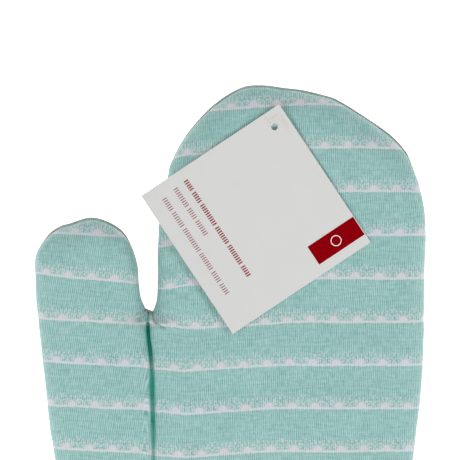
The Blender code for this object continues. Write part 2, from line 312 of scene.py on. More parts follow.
def loop_edges(count, first=0):
    """The edges of a closed loop through so many points in a row."""
    return [(first + i, first + (i + 1) % count) for i in range(count)]


def lumps(points, size, seed):
    """Soft random unevenness of the given size, about -1 to 1."""
    return np.array([noise.noise(Vector((x / size, y / size, seed))) for x, y in points])


hand_line = curve_through(HAND_EDGE, (88.0, -200.0), CREASE[1])
crease_line = curve_through(CREASE, (-41.0, 41.0), (-41.0, -200.0))
thumb_line = curve_through(THUMB_EDGE, CREASE[1], (-76.0, -200.0))
sewn_line = np.vstack([hand_line[::8], thumb_line[::8]])


def by_place(table, y):
    places, values = zip(*table)
    return np.interp(y, places, values)


def crease_depth(y, face):
    """How much of the wall's height the crease takes, from 1 at the crotch to 0 down the palm."""
    if face > 0:
        return by_place(CREASE_DEPTHS, y)
    return smoothstep(-30.0, 33.0, y)


def hem_press(y, inset):
    """How far the stitched tape presses one skin of the wall towards the wall's middle."""
    press = HEM_PRESS * (1.0 - 2.0 * inset / LINING_OUT)
    return press * smoothstep(HEM_PRESS_TOP, TAPE_TOP + 0.5, y)


def gathers(points):
    """How far the puckers at the crotch and the tag's pin draw the cloth in, in millimetres."""
    drawn = PIN_DIMPLE * np.exp(-(away_from(points, TAG_PIN) / 2.4) ** 2)
    near = away_from(points, CROTCH) < 16.0
    for places, depth, width in PUCKERS:
        line = curve_through(places, places[0], places[-1], per_span=8)
        away = np.exp(-(distance_to(points[near], line) / width) ** 2)
        gone = away_from(points[near], line[0]) / lengths_along(line)[-1]
        drawn[near] += depth * away * smoothstep(1.15, 0.6, gone)
    return drawn


class Relief:
    """Heights on a grid over the flat mitt, in millimetres; all 0 until they are filled in."""

    def __init__(self):
        self.x, self.y = (np.arange(-half, half + 1.0, RELIEF_STEP) for half in RELIEF_SPAN)
        self.z = np.zeros((len(self.x), len(self.y)))

    def fill(self, points, rises):
        """Even the rises of scattered points out over the grid."""
        tree = KDTree(len(points))
        for k, (x, y) in enumerate(points):
            tree.insert((x, y, 0.0), k)
        tree.balance()
        for i, x in enumerate(self.x):
            for j, y in enumerate(self.y):
                found = tree.find_n((x, y, 0.0), 5)
                shares = np.array([1.0 / (1.0 + away) ** 2 for _, _, away in found])
                self.z[i, j] = shares @ rises[[k for _, k, _ in found]] / shares.sum()

    def at(self, points):
        """The height at each point, read between the grid's places."""
        i = np.clip((points[:, 0] - self.x[0]) / RELIEF_STEP, 0, len(self.x) - 1.001)
        j = np.clip((points[:, 1] - self.y[0]) / RELIEF_STEP, 0, len(self.y) - 1.001)
        a, b = i.astype(int), j.astype(int)
        u, v = i - a, j - b
        low = self.z[a, b] * (1 - u) + self.z[a + 1, b] * u
        high = self.z[a, b + 1] * (1 - u) + self.z[a + 1, b + 1] * u
        return low * (1 - v) + high * v


reliefs = {1: Relief(), -1: Relief()}


class Panel:
    """Half of one wall as a flat pattern: rings along its sewn and creased edges, and a filling."""

    def __init__(self, line_before, line_after, rings, spacing, crease_first):
        first, second = resample(line_before, spacing), resample(line_after, spacing)
        self.line = np.vstack([first, second[1:]])
        count = len(self.line)
        self.creased = np.zeros(count, bool)
        if crease_first:
            self.creased[:len(first)] = True
        else:
            self.creased[len(first) - 1:] = True
        self.normals = inward_normals(self.line)
        y = self.line[:, 1]
        low_rim = smoothstep(-10.0, -110.0, y)
        self.rim = np.where(self.creased, RIM + (CREASE_RIM_LOW - RIM) * low_rim, RIM)
        self.steps = (np.arange(rings + 1) / rings) ** RING_CROWDING
        self.rings = rings
        self.along = lengths_along(self.line)
        self.from_crotch = away_from(self.line, CROTCH)
        self.held = self.creased | (self.from_crotch < 0.5)
        self.sewn_share = np.where(self.held, 0.0, smoothstep(0.5, 9.0, self.from_crotch))
        self.fill(spacing)

    def fill(self, spacing):
        """Triangles for the stretch inside the rings, on a staggered grid."""
        edge = self.line + self.normals * self.rim[:, None]
        first, last = edge[0], edge[-1]
        count = max(2, int(abs(last[0] - first[0]) / spacing))
        hem = np.column_stack([np.linspace(last[0], first[0], count + 1)[1:-1],
                               np.full(count - 1, HEM_Y)])
        loop = np.vstack([edge, hem])
        low, high = loop.min(0), loop.max(0)
        xs = np.arange(low[0], high[0], spacing)
        ys = np.arange(low[1], high[1], spacing * 0.866)
        grid = np.array([(x + spacing / 2 * (j % 2), y) for j, y in enumerate(ys) for x in xs])
        grid = grid[inside(grid, loop)]
        closed = np.vstack([loop, loop[:1]])
        grid = grid[distance_to(grid, closed) > 0.6 * spacing]
        given = np.vstack([loop, grid])
        self.triangles = np.array(triangulate(given, loop_edges(len(loop))))
        a, b, c = (given[self.triangles[:, k]] for k in range(3))
        ab, ac = b - a, c - a
        turned = ab[:, 0] * ac[:, 1] < ab[:, 1] * ac[:, 0]
        self.triangles[turned] = self.triangles[turned][:, ::-1]
        self.filling = np.vstack([hem, grid])
        self.hem_count = len(hem)

    def inward(self, reach):
        """Points as far in from each place on the line as its row of reach says."""
        return self.line[:, None, :] + self.normals[:, None, :] * reach[..., None]

    def rim_start(self, face, inset):
        """How far in from the line the rim starts, so that the seam's edge peeks out behind it."""
        facing_up = np.clip(-self.normals[:, 1], 0.0, 1.0) ** 1.5
        peek = self.sewn_share * ((0.25 + 0.85 * facing_up) if face > 0 else 0.0)
        peek = peek + self.sewn_share * (0.35 + 0.35 * waver(self.along, 13.0, 5.0 * face, 0.3))
        return peek + np.where(self.held, 0.0, inset + hem_press(self.line[:, 1], inset))

    def roundness(self):
        """Exponent of the rim's section at each place on the line."""
        x, y = self.line.T
        sharper = np.where(self.creased, smoothstep(2.0, 12.0, self.from_crotch), 0.0)
        web = smoothstep(34.0, 42.0, y) * smoothstep(112.0, 80.0, y) * smoothstep(-64.0, -54.0, x)
        web = np.where(self.creased, 0.0, web * smoothstep(-28.0, -35.0, x))
        return ROUNDNESS + (CREASE_ROUNDNESS - ROUNDNESS) * sharper + (WEB_ROUNDNESS - ROUNDNESS) * web

    def rise(self, face, columns):
        """How far in each point of the rim is, in millimetres, and as a share of the way to the top."""
        slot = np.where(self.creased & (face > 0), by_place(CREASE_SLOTS, self.line[:, 1]), 0.0)
        plan = self.steps[None, :] * self.rim[:, None]
        share = smoothstep(30.0, 12.0, self.from_crotch)
        near = share > 0.0
        away = distance_to(columns[near].reshape(-1, 2), self.line).reshape(near.sum(), -1)
        plan[near] += share[near, None] * (np.minimum(away, self.rim[near, None]) - plan[near])
        plan[:, 0] = 0.0
        return plan, np.clip((plan - slot[:, None]) / (self.rim - slot)[:, None], 0.0, 1.0)

    def surface(self, face, inset, grooved):
        """(x, y, z) of each point, and where it lies on the flat cloth, for one skin of the wall.

        It also gives the number of points in a column of the rim, and leaves in an attribute of the
        panel how much painted shade the crease's slot puts on each point.
        """
        y = self.line[:, 1]
        count = len(self.line)
        start = self.rim_start(face, inset)
        columns = self.inward(start[:, None] + self.steps[None, :] * (self.rim - start)[:, None])
        flat = np.vstack([columns.reshape(-1, 2), self.filling])
        skin = wall_top(flat, inset) if face > 0 else wall_bottom(flat, inset)
        tops = skin[:count * (self.rings + 1)].reshape(count, -1)

        tuck = GROOVE_RISE if grooved else 0.3
        low = np.full(count, SEAM_Z + face * (tuck + 0.15 * inset))
        at_edge = tops[:, 0]
        low = at_edge + (low - at_edge) * np.where(self.creased, crease_depth(y, face), 1.0)
        plan, risen = self.rise(face, columns)
        power = self.roundness()[:, None]
        curve = (1.0 - (1.0 - risen) ** power) ** (1.0 / power)
        heights = low[:, None] + (tops - low[:, None]) * curve
        if face > 0:
            bridged = np.where(self.creased, by_place(CREASE_BRIDGES, y), 0.0)[:, None]
            heights += bridged * (at_edge - low)[:, None] * np.exp(-(plan / 1.7) ** 2)
            heights -= gathers(columns.reshape(-1, 2)).reshape(heights.shape)
        # Painted shade along the crease's slot, strongest at its bottom and gone where the rim has
        # risen.
        shade_share = np.where(self.creased & (face > 0), by_place(CREASE_SHADE_SHARES, y), 0.0)
        shade_share = shade_share[:, None] * smoothstep(0.05, 0.0, risen)
        pull = waver(self.along, 6.5, 9.0 * face, 1.7) + 0.6 * waver(self.along, 2.8, 4.0, 2.9 * face)
        swell = np.exp(-((self.steps[None, :] - 0.28) / 0.22) ** 2) * self.sewn_share[:, None]
        heights = heights + face * 0.55 * pull[:, None] * swell

        if grooved:
            tucks = np.where(self.held[:, None], [[0.25, 0.1]], [[1.7, 0.5]]) * (1.0 - 0.35 * inset)
            drops = np.where(self.held[:, None], [[0.9, 0.5]], [[2.0, 1.3]]) - 0.8 * inset
            columns = np.concatenate([self.inward(start[:, None] + tucks), columns], axis=1)
            heights = np.concatenate([low[:, None] - face * drops, heights], axis=1)
            shade_share = np.concatenate([shade_share[:, :1], shade_share[:, :1], shade_share], axis=1)
        points = np.concatenate([columns, heights[..., None]], axis=2)
        across = PRINT_WRAP + (1.0 - PRINT_WRAP) * np.array([1.0, 1.0, 0.0])
        step = np.linalg.norm(np.diff(points, axis=1) * across, axis=2)
        unrolled = np.concatenate([np.cumsum(step[:, ::-1], axis=1)[:, ::-1], np.zeros((count, 1))], 1)
        cloth = self.inward(self.rim[:, None] - unrolled)
        filled = np.column_stack([self.filling, skin[count * (self.rings + 1):]])
        xyz = np.vstack([points.reshape(-1, 3), filled])
        self.shade_share = np.concatenate([shade_share.ravel(), np.zeros(len(self.filling))])
        return xyz, np.vstack([cloth.reshape(-1, 2), self.filling]), columns.shape[1]

    def faces(self, rows):
        """Faces of one skin, for columns of that many points."""
        count = len(self.line)
        i, k = np.meshgrid(np.arange(count - 1), np.arange(rows - 1), indexing="ij")
        a = (i * rows + k).ravel()
        quads = np.column_stack([a, a + rows, a + rows + 1, a + 1])
        place = np.concatenate([np.arange(count) * rows + rows - 1,
                                count * rows + np.arange(len(self.filling))])
        return quads.tolist() + place[self.triangles].tolist()


def wall_top(points, inset):
    """Height of the front wall's top, before its rim is rounded off."""
    y = points[:, 1]
    beside_seam = np.exp(-distance_to(points, sewn_line) / DOME_REACH)
    beside_crease = np.exp(-distance_to(points, crease_line) / DOME_REACH) * crease_depth(y, 1)
    top = THICKNESS - TOP_DOME * np.maximum(beside_seam, beside_crease)
    top += reliefs[1].at(points) - 0.6 * SWELL_ROOM
    top -= 0.2 * np.abs(lumps(points, 34.0, 0.0)) + 0.25 * np.abs(lumps(points, 13.0, 4.0))
    return np.minimum(top, THICKNESS) - inset - hem_press(y, inset)


def wall_bottom(points, inset):
    """Height of the back wall's underside, flat where it rests."""
    y = points[:, 1]
    lift = 0.5 * (SWELL_ROOM - reliefs[-1].at(points)) + 0.1 * np.abs(lumps(points, 22.0, 8.0))
    lift += 1.6 * np.exp(-distance_to(points, sewn_line) / 9.0)
    lift += 0.8 * crease_depth(y, -1) * np.exp(-distance_to(points, crease_line) / 9.0)
    return lift + inset + hem_press(y, inset)


def make_panels(rings, spacing):
    """The hand half and the thumb half of a wall."""
    return {
        "hand": Panel(hand_line, crease_line, rings, spacing, crease_first=False),
        "thumb": Panel(crease_line[::-1], thumb_line, rings, spacing, crease_first=True),
    }


def front_print(cloth, half):
    """Where the print lies on the front: millimetres across it and up it."""
    x, y = cloth[:, 0], cloth[:, 1]
    low = smoothstep(40.0, 5.0, y)
    sag = -3.4 * (smoothstep(50.0, -20.0, x) * (1.0 - low) + smoothstep(28.0, -34.0, x) * low)
    above_crotch = smoothstep(34.0, 50.0, y)
    sag += -2.8 * smoothstep(-20.0, -38.0, x) * above_crotch
    sag += 1.5 * smoothstep(-22.0, -38.0, x) * (1.0 - above_crotch)
    whole = 1.0 if half == "thumb" else 0.0
    below_crotch = smoothstep(34.0, 10.0, y)
    on_thumb = whole + (smoothstep(-40.0, -47.0, x) - whole) * below_crotch
    slope = 2.4 + 3.3 * np.exp(-((y - 52.0) / 20.0) ** 2)
    rise = 1.9 + 0.9 * np.exp(-((y - 52.0) / 12.0) ** 2)
    sag = sag * (1.0 - on_thumb) + (rise - slope * (x + 104.0) / 56.0) * on_thumb
    sag += 0.5 * lumps(cloth, 24.0, 12.0)
    up = (y - sag - STRIPE_0) / STRIPE
    up = (up - 0.0015 * up ** 2) * STRIPE
    across = x - MOTIF_0 + 0.05 * (y - STRIPE_0) + 0.5 * lumps(cloth, 30.0, 15.0)
    across -= 0.2 * (np.maximum(y, -50.0) - 12.2) * on_thumb
    return across, up


def back_print(cloth):
    """Where the print lies on the back, which is cut from another stretch of the cloth."""
    x, y = cloth[:, 0], cloth[:, 1]
    return 4.0 - x, y - 43.0 + 0.02 * x + 0.6 * lumps(cloth, 40.0, 21.0)


def print_on(cloth, side, layer, half):
    """Where each point lies on its own cloth's print; a plain cloth is simply laid flat."""
    if layer != "shell":
        return cloth[:, 0], cloth[:, 1]
    return front_print(cloth, half) if side == "front" else back_print(cloth)


def place_object(name, data):
    """A mesh, light or camera as an object of the scene."""
    obj = bpy.data.objects.new(name, data)
    bpy.context.scene.collection.objects.link(obj)
    return obj


def make_object(name, vertices, faces, material, uv=None, smooth=True):
    """A mesh object from millimetres, with how far across and up its flat cloth each point lies."""
    mesh = bpy.data.meshes.new(name)
    mesh.from_pydata((np.asarray(vertices) * MM).tolist(), [], faces)
    if uv is not None:
        layer = mesh.uv_layers.new(name="print")
        corner = np.zeros(len(mesh.loops), np.int32)
        mesh.loops.foreach_get("vertex_index", corner)
        place = (np.column_stack(uv) / UV_MM)[corner]
        layer.data.foreach_set("uv", place.astype(np.float32).ravel())
    if smooth:
        mesh.shade_smooth()
    if material:
        mesh.materials.append(material)
    return place_object(name, mesh)


def boundary_edges(faces):
    """Edges that only one face uses, as directed pairs."""
    used = {}
    for f in faces:
        for a, b in zip(f, f[1:] + f[:1]):
            used[(a, b)] = True
    return [(a, b) for a, b in used if (b, a) not in used]


def closed_plate(faces, count):
    """Faces of a plate with such an under side, and with its upper points count places further on."""
    over = [[v + count for v in f] for f in faces]
    sides = [[a, b, b + count, a + count] for a, b in boundary_edges(faces)]
    return [f[::-1] for f in faces] + over + sides


def closed_wall(name, outer, inner, faces, face, material, place):
    """A closed piece between an outer and an inner skin that share one pattern of faces."""
    n = len(outer)
    rim = boundary_edges(faces)
    under = [[v + n for v in reversed(f)] for f in faces]
    sides = [[b, a, a + n, b + n] for a, b in rim]
    everything = faces + under + sides
    if face < 0:
        everything = [f[::-1] for f in everything]
    obj = make_object(name, np.vstack([outer, inner]), everything, material, np.tile(place, 2))
    sharpen(obj.data, rim, n)
    return obj


def bend(obj, half):
    """Bake a piece's placement into its mesh."""
    half == "hand"
    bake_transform(obj)


def nodes_of(side, layer, half):
    parts = ("palm", "fingers") if half == "hand" else ("thumb",)
    return [f"{side}_{layer}_{part}" for part in parts]


def sharpen(mesh, rim, count):
    """Keep the shading apart at the rim's edges, and at the same ones count vertices further on."""
    size = len(mesh.vertices)
    ends = np.zeros(len(mesh.edges) * 2, np.int64)
    mesh.edges.foreach_get("vertices", ends)
    ends = np.sort(ends.reshape(-1, 2), axis=1)
    wanted = np.sort(np.vstack([rim, np.add(rim, count)]), axis=1)
    sharp = np.isin(ends @ [size, 1], wanted @ [size, 1])
    mesh.attributes.new("sharp_edge", "BOOLEAN", "EDGE").data.foreach_set("value", sharp)


def swell(panels, face):
    """Press a wall's cloth out between its seams, over wadding that holds it like a soft bed."""
    scene = bpy.context.scene
    places, rises = [], []
    for half, panel in panels.items():
        xyz, _, rows = panel.surface(face, 0.0, grooved=False)
        faces = panel.faces(rows)
        if face < 0:
            faces = [f[::-1] for f in faces]
        sheet = make_object(f"swelling_{half}", xyz, faces, None)
        sewn = sorted({v for edge in boundary_edges(faces) for v in edge})
        held = sheet.vertex_groups.new(name="held")
        held.add(list(range(len(xyz))), SWELL_BED, "REPLACE")
        held.add(sewn, 1.0, "REPLACE")
        cloth = sheet.modifiers.new("cloth", "CLOTH")
        for setting, value in SWELL_CLOTH.items():
            setattr(cloth.settings, setting, value)
        cloth.settings.effector_weights.gravity = 0.0
        cloth.collision_settings.use_collision = False
        cloth.point_cache.frame_start = 1
        cloth.point_cache.frame_end = SWELL_FRAMES
        for step in range(1, SWELL_FRAMES + 1):
            scene.frame_set(step)
        shaped = sheet.evaluated_get(bpy.context.evaluated_depsgraph_get()).data
        after = np.zeros(len(xyz) * 3, np.float32)
        shaped.vertices.foreach_get("co", after)
        rise = face * (after.reshape(-1, 3)[:, 2] / MM - xyz[:, 2])
        places.append(xyz[:, :2])
        rises.append(SWELL_ROOM * np.tanh(rise / SWELL_ROOM))
        bpy.data.objects.remove(sheet)
    scene.frame_set(1)
    reliefs[face].fill(np.vstack(places), np.concatenate(rises))


def make_walls(materials):
    """Shell, wadding and lining of both walls, each as a hand half and a thumb half."""
    fine, coarse = make_panels(20, 1.5), make_panels(7, 4.5)
    swell(coarse, 1)
    swell(coarse, -1)
    layers = (
        ("shell", 0.0, SHELL_T, fine, "printed_cotton"),
        ("wadding", WADDING_IN, WADDING_OUT, coarse, "wadding"),
        ("lining", LINING_IN, LINING_OUT, coarse, "lining"),
    )
    for face, side in ((1, "front"), (-1, "back")):
        for layer, outer, inner, panels, slot in layers:
            for half, panel in panels.items():
                grooved = layer == "shell"
                under, _, _ = panel.surface(face, inner, grooved)
                top, cloth, rows = panel.surface(face, outer, grooved)
                obj = closed_wall(f"{side}_{layer}_{half}_cloth", top, under, panel.faces(rows), face,
                                  materials[slot], print_on(cloth, side, layer, half))
                if layer == "shell":
                    # Each point's share of the crease's painted shade, read by the cotton's material.
                    shade = obj.data.attributes.new("crease_painted_shade", "FLOAT", "POINT")
                    shade.data.foreach_set("value", np.tile(panel.shade_share, 2))
                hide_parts(*nodes_of(side, layer, half))
                bend(obj, half)
    return fine


def mouth_ring(panels, inset):
    """The wall's section at the cuff's mouth, as (x, z) from the right seam round the front first."""
    def row(half, face):
        panel = panels[half]
        xyz, _, rows = panel.surface(face, inset, grooved=False)
        count = len(panel.line)
        hem = xyz[count * rows:count * rows + panel.hem_count][::-1]
        return np.vstack([xyz[:rows], hem, xyz[(count - 1) * rows:count * rows][::-1]])[:, [0, 2]]

    front = np.vstack([row("hand", 1), row("thumb", 1)[1:]])
    back = np.vstack([row("hand", -1), row("thumb", -1)[1:]])[::-1]
    return np.vstack([front, back])


def ring_faces(count, sides, caps, first=0):
    """Faces over rings of points that close on one another, or that are capped at both ends."""
    faces = []
    for i in range(count - 1 if caps else count):
        a, b = first + i * sides, first + (i + 1) % count * sides
        for j in range(sides):
            k = (j + 1) % sides
            faces.append([a + j, a + k, b + k, b + j])
    if caps:
        faces.append([first + j for j in range(sides)][::-1])
        faces.append([first + (count - 1) * sides + j for j in range(sides)])
    return faces


def closed_grid(name, rings, material, uv=None, caps=False):
    """A tube of rings of points as one mesh."""
    rings = np.asarray(rings)
    return make_object(name, rings.reshape(-1, 3), ring_faces(*rings.shape[:2], caps), material, uv)


def make_binding(panels, material):
    """The tape that wraps the cuff's edge, as a band folded over the walls all round the mouth."""
    outer, inner = mouth_ring(panels, 0.0), mouth_ring(panels, LINING_OUT)
    keep = np.concatenate([[True], step_lengths(outer) > 0.05])
    outer, inner = outer[keep], inner[keep]
    w = LINING_OUT
    t = TAPE_T
    top = TAPE_TOP
    profile = [
        (-0.1, top), (-0.6 * t, top + 0.25), (-t, top - 0.3), (-0.55 * t, TAPE_STITCH), (-t, top - 3.2),
        (-1.15 * t, top - 7.0), (-t, HEM_Y - 0.1), (-0.3, HEM_Y - 0.9), (1.2, HEM_Y - 1.3),
        (w / 2, HEM_Y - 1.4), (w - 1.2, HEM_Y - 1.3), (w + 0.3, HEM_Y - 0.9), (w + t, HEM_Y - 0.1),
        (w + t, top - 3.0), (w + 0.6 * t, top + 0.2), (w + 0.05, top),
        (w + 0.05, HEM_Y + 0.7), (w - 0.8, HEM_Y - 0.3), (w / 2, HEM_Y - 0.5), (0.8, HEM_Y - 0.3),
        (-0.05, HEM_Y + 0.7),
    ]
    s = lengths_along(outer)
    rings = []
    for a, b, ruck in zip(outer, inner, 0.25 * waver(s, 5.0, 3.0, 7.0)):
        ring = []
        for share, y in profile:
            x, z = a + (b - a) * (share / w)
            ring.append((x, y + ruck * (1.0 if y > HEM_Y else 0.2), z))
        rings.append(ring)
    uv = (np.repeat(s, len(profile)), np.tile([y for _, y in profile], len(outer)))
    return closed_grid("hem_binding_tape", rings, material, uv), outer, inner


def tube(path, radius, sides=6):
    """Rings of points round a path, tapering into the cloth at both ends."""
    path = np.asarray(path, float)
    rings = []
    for p, t in zip(path, directions(path)):
        a = np.cross(t, (0.0, 0.0, 1.0) if abs(t[2]) < 0.9 else (1.0, 0.0, 0.0))
        a /= np.linalg.norm(a)
        b = np.cross(t, a)
        rings.append([p + radius * (math.cos(q) * a + math.sin(q) * b)
                      for q in np.linspace(0.0, math.tau, sides, endpoint=False)])
    return np.array(rings)


def join_tubes(name, tubes, material):
    """Several capped tubes as one mesh."""
    vertices, faces = [], []
    for rings in tubes:
        faces += ring_faces(*rings.shape[:2], True, len(vertices))
        vertices.extend(rings.reshape(-1, 3).tolist())
    return make_object(name, vertices, faces, material)


def place_at(length, s, line):
    """The place that far along a line, where s holds how far along each of its points is."""
    return np.array([np.interp(length, s, line[:, k]) for k in (0, 1)])


def stitch(start, end, out, rise, radius):
    """One stitch: a short thread that rises from the cloth and goes back in."""
    start, end, out = (np.asarray(p, float) for p in (start, end, out))
    return tube([start + (end - start) * t + out * rise * (math.sin(math.pi * t) * 1.4 - 0.4)
                 for t in (0.0, 0.15, 0.5, 0.85, 1.0)], radius)


def make_binding_stitches(outer, inner, material):
    """The row of stitches that holds the binding tape, all round the mouth."""
    s = lengths_along(outer)
    tubes = []
    for start in np.arange(1.0, s[-1] - STITCH_STEP, STITCH_STEP):
        places = []
        for at in (start, start + STITCH_LENGTH):
            a, b = place_at(at, s, outer), place_at(at, s, inner)
            places.append(a + (b - a) * (-0.75 * TAPE_T / LINING_OUT))
            out = (a - b) / np.linalg.norm(a - b)
        (x0, z0), (x1, z1) = places
        tubes.append(stitch((x0, TAPE_STITCH, z0), (x1, TAPE_STITCH, z1), (out[0], 0.0, out[1]),
                            0.25, THREAD_R))
    return join_tubes("hem_binding_stitches", tubes, material)


def loop_path():
    """The hanging loop's tape, from its root down one side of the eye and back up the other."""
    leg = LOOP_T / 2
    root = [(LOOP_PINCH * leg, -1.0), (0.75 * leg, -3.0), (leg, -LOOP_TAB)]
    points = root[:]
    for k in range(2, 39):
        t = math.tau * k / 40
        points.append((LOOP_W / 2 * math.sin(t) * math.sin(t / 2) + leg * math.cos(t / 2),
                       -LOOP_TAB - LOOP_L / 2 * (1.0 - math.cos(t))))
    points += [(-x, y) for x, y in reversed(root)]
    return curve_through(points, (0.2 * leg, 0.5), (-0.2 * leg, 0.5), per_span=4)


def make_loop(materials):
    """The hanging loop: a folded tape bent back on itself, its ends sewn together as a tab."""
    path = loop_path()
    along = directions(path)
    across = np.column_stack([along[:, 1], -along[:, 0]])
    half_w, half_t = LOOP_TAPE_W / 2, LOOP_T / 2
    section = []
    for q in np.linspace(0.0, math.tau, 28, endpoint=False):
        c, s = math.cos(q), math.sin(q)
        section.append((half_t * np.sign(c) * abs(c) ** 0.35, half_w * np.sign(s) * abs(s) ** 0.6))
    s = lengths_along(path)
    rings = []
    for p, n, at, wave in zip(path, across, s, 0.35 * waver(s, 14.0, 2.0, 6.0)):
        n = n * (LOOP_PINCH + (1.0 - LOOP_PINCH) * smoothstep(0.0, 4.0, min(at, s[-1] - at)))
        rings.append([(LOOP_AT[0] + p[0] + n[0] * u, LOOP_AT[1] + p[1] + n[1] * u,
                       LOOP_AT[2] + v * (1.0 + 0.03 * wave) + wave) for u, v in section])
    uv = (np.repeat(s, len(section)), np.tile([v for _, v in section], len(path)))
    obj = closed_grid("hanging_loop_tape", rings, materials["tape"], uv, caps=True)
    threads = []
    for z in (-half_w + 1.1, half_w - 1.1):
        for side in (1, -1):
            for start in np.arange(8.0, s[-1] - 8.0, STITCH_STEP):
                ends = []
                for at in (start, start + STITCH_LENGTH):
                    n = place_at(at, s, across)
                    q = place_at(at, s, path) + n * side * (half_t + 0.02)
                    ends.append((LOOP_AT[0] + q[0], LOOP_AT[1] + q[1], LOOP_AT[2] + z))
                threads.append(stitch(*ends, (n[0] * side, n[1] * side, 0.0), 0.2, THREAD_R * 0.8))
    sewn = join_tubes("hanging_loop_stitches", threads, materials["thread"])
    for piece in (obj, sewn):
        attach(piece, "loop")
    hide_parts("hanging_loop")


def tag_place(points, height):
    """Points of the tag's own plane, set on the mitt with the card's slight bend."""
    points = np.asarray(points, float)
    c, s = math.cos(TAG_TURN), math.sin(TAG_TURN)
    x = TAG_AT[0] + c * points[:, 0] - s * points[:, 1]
    y = TAG_AT[1] + s * points[:, 0] + c * points[:, 1]
    u, v = points[:, 0] / 44.0, points[:, 1] / 44.0
    bend_by = TAG_BEND * (0.9 * u * v + 0.2 * v * v) + TAG_LIFT * np.clip(-u - 0.1, 0.0, 1.0) ** 2
    return np.column_stack([x, y, TAG_Z + bend_by + height])


def make_card(material):
    """The square card with its hole and slightly softened corners."""
    half, soft = TAG_SIDE / 2, 0.5
    steps = np.arange(-10, 11) * 4.0
    side = [(half - soft + soft * math.cos(a), soft - half + soft * math.sin(a))
            for a in np.radians((-90, -60, -30, 0))]
    side += [(half, step) for step in steps]
    outline = [(c * x - s * y, s * x + c * y)
               for c, s in ((1, 0), (0, 1), (-1, 0), (0, -1)) for x, y in side]
    hole = [(TAG_HOLE[0] + TAG_HOLE_R * math.cos(a), TAG_HOLE[1] + TAG_HOLE_R * math.sin(a))
            for a in np.linspace(0.0, math.tau, 32, endpoint=False)]
    grid = [(x, y) for x in steps for y in steps if math.hypot(x - TAG_HOLE[0], y - TAG_HOLE[1]) > 4.0]
    points = outline + hole + grid
    n, m, count = len(outline), len(hole), len(points)
    faces = triangulate(points, loop_edges(n) + loop_edges(m, n))
    faces = [f for f in faces if any(v < n or v >= n + m for v in f)]
    obj = make_object("swing_tag_card", np.vstack([tag_place(points, 0.0), tag_place(points, TAG_T)]),
                      closed_plate(faces, count), material, np.tile(np.transpose(points), 2))
    sharpen(obj.data, boundary_edges(faces), count)
    return obj


def card_print(name, boxes, material):
    """Thin flat printed shapes on the card, each (left, right, low, high) in its own plane."""
    vertices, faces = [], []
    for left, right, low, high in boxes:
        across = np.linspace(left, right, max(1, int((right - left) / 4.0)) + 1)
        up = np.linspace(low, high, max(1, int((high - low) / 4.0)) + 1)
        flat = [(x, y) for y in up for x in across]
        base, row = len(vertices), len(across)
        vertices.extend(tag_place(flat, TAG_T - 0.02).tolist())
        vertices.extend(tag_place(flat, TAG_T + PRINT_T).tolist())
        firsts = [base + j * row + i for j in range(len(up) - 1) for i in range(row - 1)]
        faces += closed_plate([[a, a + 1, a + row + 1, a + row] for a in firsts], len(flat))
    return make_object(name, vertices, faces, material, smooth=False)


def print_marks(rng, middle, start, end, size, bold):
    """Plain upright strokes of one height in uneven groups, in place of a line of print."""
    boxes = []
    stroke = size * (0.27 if bold else 0.17)
    low, high = middle - size / 2, middle + size / 2
    at = start
    while at > end + size:
        for _ in range(int(rng.integers(5, 12))):
            if at - stroke < end:
                break
            boxes.append((low, high, at - stroke, at))
            at -= 0.5 * size
        at -= size * 0.4
    return boxes


def make_tag(materials):
    """The swing tag with a block of colour, a plain ring on it, and plain marks for its print."""
    rng = np.random.default_rng(11)
    card = make_card(materials["card"])
    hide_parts("swing_tag")
    left, right, low, high = TAG_BLOCK
    block = card_print("swing_tag_block", [TAG_BLOCK], materials["red"])
    marks = []
    for middle, start, end, size, bold in TAG_LINES:
        marks += print_marks(rng, middle, start, end, size, bold)
    lines = card_print("swing_tag_lines", marks, materials["text"])
    x, y = (left + right) / 2, (low + high) / 2
    sides = (RING_IN, RING_IN, RING_OUT, RING_OUT)
    ring = closed_grid("swing_tag_ring", [
        tag_place([(x + r * math.cos(a), y + r * math.sin(a)) for r in sides], 0.0)
        + [(0.0, 0.0, TAG_T + PRINT_T * lift) for lift in (0.5, 2.0, 2.0, 0.5)]
        for a in np.linspace(0.0, math.tau, 40, endpoint=False)], materials["white"])
    for piece in (card, block, lines, ring):
        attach(piece, "tag")


class Sum:
    """A number worked out by nodes, so that a pattern can be written as arithmetic."""

    def __init__(self, tree, source):
        self.tree = tree
        self.source = source

    def step(self, operation, *others, clamp=False):
        node = self.tree.nodes.new("ShaderNodeMath")
        node.operation = operation
        node.use_clamp = clamp
        for entry, value in zip(node.inputs, (self, *others)):
            if isinstance(value, Sum):
                self.tree.links.new(value.source, entry)
            else:
                entry.default_value = value
        return Sum(self.tree, node.outputs[0])

    def __add__(self, other):
        return self.step("ADD", other)

    def __sub__(self, other):
        return self.step("SUBTRACT", other)

    def __mul__(self, other):
        return self.step("MULTIPLY", other)

    def __truediv__(self, other):
        return self.step("DIVIDE", other)

    def __abs__(self):
        return self.step("ABSOLUTE")

    def wrapped(self, period, start):
        """The remainder of a repeat, from start to start + period."""
        return ((self - start) / period).step("FRACT") * period + start

    def below(self, limit, soft=0.12):
        """1 where the number is below the limit, 0 above it, with a soft edge."""
        return ((self * -1.0 + limit) / soft).step("ADD", 0.5, clamp=True)

    def above(self, limit, soft=0.12):
        return ((self - limit) / soft).step("ADD", 0.5, clamp=True)

    def either(self, other):
        return self.step("MAXIMUM", other)


def hypot(a, b):
    return (a * a + b * b).step("SQRT")


